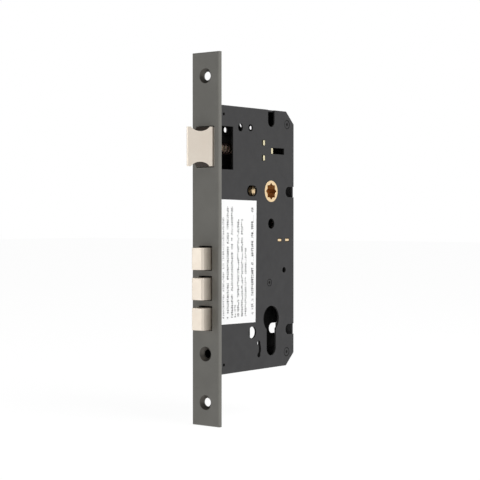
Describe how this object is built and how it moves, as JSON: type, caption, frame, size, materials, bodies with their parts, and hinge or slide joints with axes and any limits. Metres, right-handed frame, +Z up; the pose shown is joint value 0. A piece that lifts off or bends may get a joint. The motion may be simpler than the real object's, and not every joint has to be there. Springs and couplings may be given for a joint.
{
  "type": "mortise lock",
  "caption": "Mortise lock for a euro profile cylinder: flat faceplate, thin case, bevelled spring latch and separate deadbolt heads thrown together.",
  "frame": {"origin": "the euro cylinder's axis at the middle of the case's thickness", "axes": "+X across the door's thickness toward the labelled side plate, +Y from the faceplate into the door, +Z up"},
  "size_m": [0.022, 0.0972, 0.238],
  "materials": {
    "faceplate_coating": "satin dark grey coating",
    "case_coating": "satin black coating on sheet steel",
    "satin_nickel": "satin nickel plate",
    "hub_brass": "machined",
    "passivated_steel": "yellow passivated zinc plate",
    "plain_steel": "bright turned steel",
    "spring_wire": "drawn spring wire",
    "label_paper": "matt white"
  },
  "bodies": {
    "case": {"faceplate": "faceplate_coating", "case_plate": "case_coating", "case_rim": "case_coating", "case_cover": "case_coating", "front_block_top": "case_coating", "front_block_bottom": "case_coating", "pillar_top": "case_coating", "pillar_bottom": "case_coating", "bolt_guide_post": "case_coating", "latch_guide": "passivated_steel", "latch_spring": "spring_wire", "spring_seat": "hub_brass", "follower_spring": "spring_wire", "tumbler_pivot": "plain_steel", "tumbler_spring": "spring_wire", "label": "label_paper"},
    "latch": {"latch_head": "satin_nickel", "latch_tail": "passivated_steel", "latch_pin": "plain_steel"},
    "follower": {"follower_hub": "hub_brass", "follower_lever_near": "passivated_steel", "follower_lever_far": "passivated_steel", "follower_rivets": "plain_steel"},
    "plunger": {"spring_plunger": "plain_steel"},
    "deadbolt": {"bolt_head_top": "satin_nickel", "bolt_head_middle": "satin_nickel", "bolt_head_bottom": "satin_nickel", "bolt_carriage": "passivated_steel", "bolt_pins": "plain_steel"},
    "tumbler": {"tumbler": "passivated_steel"}
  },
  "joints": [
    {"name": "latch_slide", "type": "slide", "parent": "case", "child": "latch", "axis": [0, 1, 0], "range_m": [0, 0.0115], "stiffness_N_per_m": 200, "springref_m": -0.02, "deforming": ["latch_spring", "follower_spring"]},
    {"name": "follower_turn", "type": "hinge", "parent": "case", "child": "follower", "pos_m": [0, 0, 0.085], "axis": [1, 0, 0], "range_deg": [-27.4, 0], "stiffness_Nm_per_rad": 0.6, "springref_deg": 28.65},
    {"name": "plunger_slide", "type": "slide", "parent": "case", "child": "plunger", "axis": [0, 0, -1], "range_m": [0, 0.0066]},
    {"name": "deadbolt_slide", "type": "slide", "parent": "case", "child": "deadbolt", "axis": [0, -1, 0], "range_m": [-0.0085, 0.011]},
    {"name": "tumbler_turn", "type": "hinge", "parent": "case", "child": "tumbler", "pos_m": [0, 0.0145, 0.0321], "axis": [1, 0, 0], "range_deg": [0, 5], "stiffness_Nm_per_rad": 0.05, "springref_deg": 22.92}
  ],
  "couplings": [
    {"joint": "follower_turn", "follows": "latch_slide", "rad_per_m": -41.5},
    {"joint": "plunger_slide", "follows": "latch_slide", "ratio": 0.5644}
  ]
}
